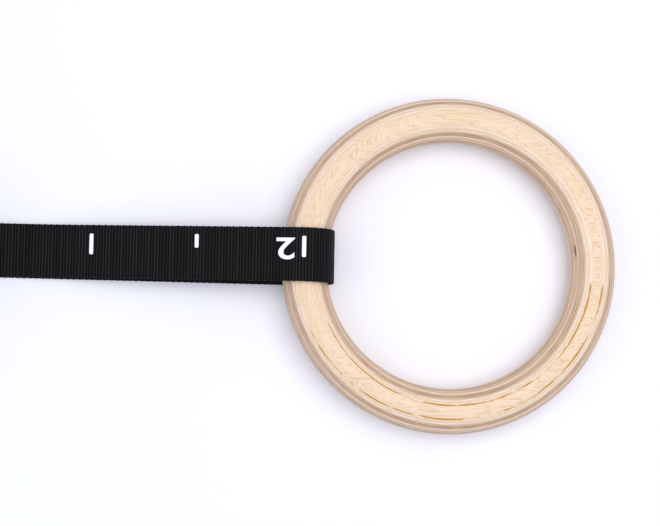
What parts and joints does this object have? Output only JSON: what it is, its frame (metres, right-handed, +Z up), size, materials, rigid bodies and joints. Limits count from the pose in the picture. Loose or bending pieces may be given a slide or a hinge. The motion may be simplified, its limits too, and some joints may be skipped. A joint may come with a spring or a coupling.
{
  "type": "gymnastics ring",
  "caption": "Turned plywood gymnastics ring in the loop of a numbered webbing strap, with a sprung cam buckle and the spare strap rolled and tied.",
  "frame": {"origin": "under the ring's centre, on the surface that the object lies on", "axes": "+Z up out of the ring's face, -X along the strap away from the ring, Y across the strap"},
  "size_m": [0.6788, 0.24, 0.1002],
  "materials": {
    "ring_wood": "sanded, clear-sealed birch plywood, plies showing as bands round the tube",
    "webbing": "black polyester webbing, ribbed across its width",
    "mark_ink": "white printed ink",
    "thread": "bonded black sewing thread",
    "tie_fabric": "black hook-and-loop strip",
    "cast_frame": "satin nickel-plated zinc casting",
    "cast_lever": "satin nickel-plated zinc casting",
    "pin_steel": "plated steel",
    "spring_steel": "drawn spring wire"
  },
  "bodies": {
    "strap": {"strap_sewn_end": "webbing", "strap_sewn_eye": "webbing", "strap_beam_fold": "webbing", "strap_lower_strand": "webbing", "strap_ring_wrap": "webbing", "strap_upper_strand": "webbing", "strap_tail": "webbing", "strap_roll": "webbing", "storage_tie": "tie_fabric", "printed_scale": "mark_ink", "sewn_end_stitching": "thread", "buckle_frame": "cast_frame", "cam_pin": "pin_steel", "cam_spring": "spring_steel"},
    "ring": {"wooden_ring": "ring_wood"},
    "lever": {"cam_lever": "cast_lever"}
  },
  "joints": [
    {"name": "ring_swing", "type": "hinge", "parent": "strap", "child": "ring", "pos_m": [-0.10228, 0.0054, 0.0198], "axis": [0, -1, 0], "range_deg": [0, 175]},
    {"name": "cam_press", "type": "hinge", "parent": "strap", "child": "lever", "pos_m": [-0.4435, 0.0054, 0.0209], "axis": [0, -1, 0], "range_deg": [0, 40], "stiffness_Nm_per_rad": 0.3, "springref_deg": -20.05, "deforming": ["cam_spring"]}
  ]
}
